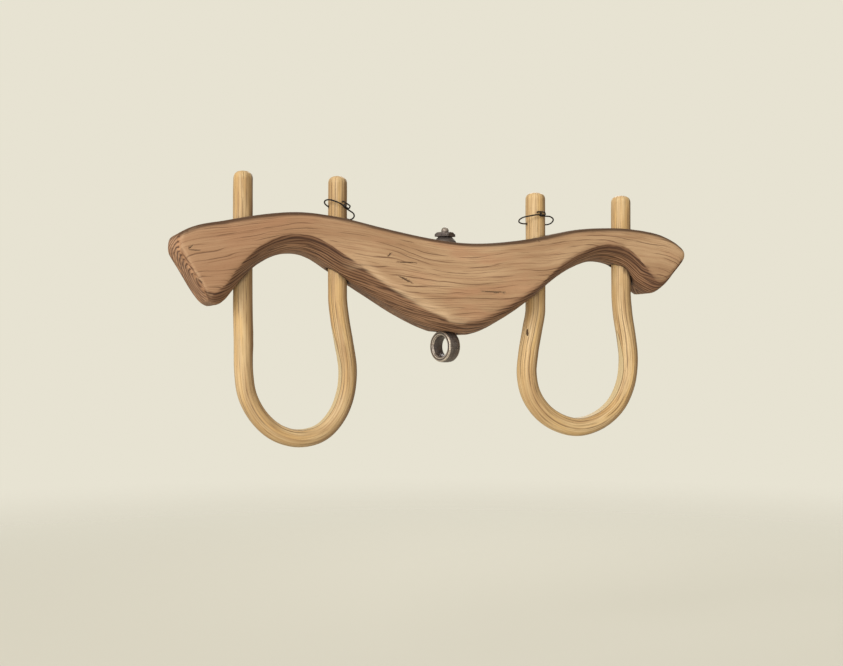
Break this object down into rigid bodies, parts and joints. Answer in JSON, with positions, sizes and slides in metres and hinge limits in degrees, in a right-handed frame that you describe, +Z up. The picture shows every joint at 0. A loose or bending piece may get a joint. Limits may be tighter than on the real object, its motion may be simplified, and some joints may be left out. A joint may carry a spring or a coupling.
{
  "type": "ox yoke",
  "caption": "Carved neck yoke beam for draft oxen with bent hardwood bows held by wire rings, and an iron draft eye bolted through its middle.",
  "frame": {"origin": "on the draft bolt's axis, halfway through the beam, level with the crowns of the two neck seats", "axes": "+X along the beam towards the narrower tip, +Y through it from front to back, +Z up; the oxen face +Y or -Y"},
  "size_m": [1.1784, 0.14, 0.5709],
  "materials": {
    "beam_wood": "hewn and hand-rubbed, open grain",
    "bow_wood": "shaved and steam-bent, dry",
    "ring_wire": "blackened iron wire",
    "draft_iron": "forged, worn bright on its rims"
  },
  "bodies": {
    "yoke": {"yoke_beam": "beam_wood", "draft_washer": "draft_iron"},
    "left_bow": {"left_bow": "bow_wood"},
    "right_bow": {"right_bow": "bow_wood"},
    "left_ring": {"left_bow_ring": "ring_wire"},
    "right_ring": {"right_bow_ring": "ring_wire"},
    "draft_eye": {"draft_eye": "draft_iron", "draft_nut": "draft_iron"}
  },
  "joints": [
    {"name": "left_bow_slide", "type": "slide", "parent": "yoke", "child": "left_bow", "axis": [0, 0, 1], "range_m": [-0.002, 0.025]},
    {"name": "right_bow_slide", "type": "slide", "parent": "yoke", "child": "right_bow", "axis": [0, 0, 1], "range_m": [-0.01, 0.02]},
    {"name": "left_ring_swing", "type": "hinge", "parent": "left_bow", "child": "left_ring", "pos_m": [-0.246, 0, 0.086], "axis": [-0.866, 0, 0.5], "range_deg": [-24, 18]},
    {"name": "right_ring_swing", "type": "hinge", "parent": "right_bow", "child": "right_ring", "pos_m": [0.221, 0, 0.08], "axis": [-1, 0, 0], "range_deg": [-38, 1]},
    {"name": "draft_eye_swivel", "type": "hinge", "parent": "yoke", "child": "draft_eye", "pos_m": [0, 0, 0], "axis": [0, 0, 1], "continuous": true}
  ]
}
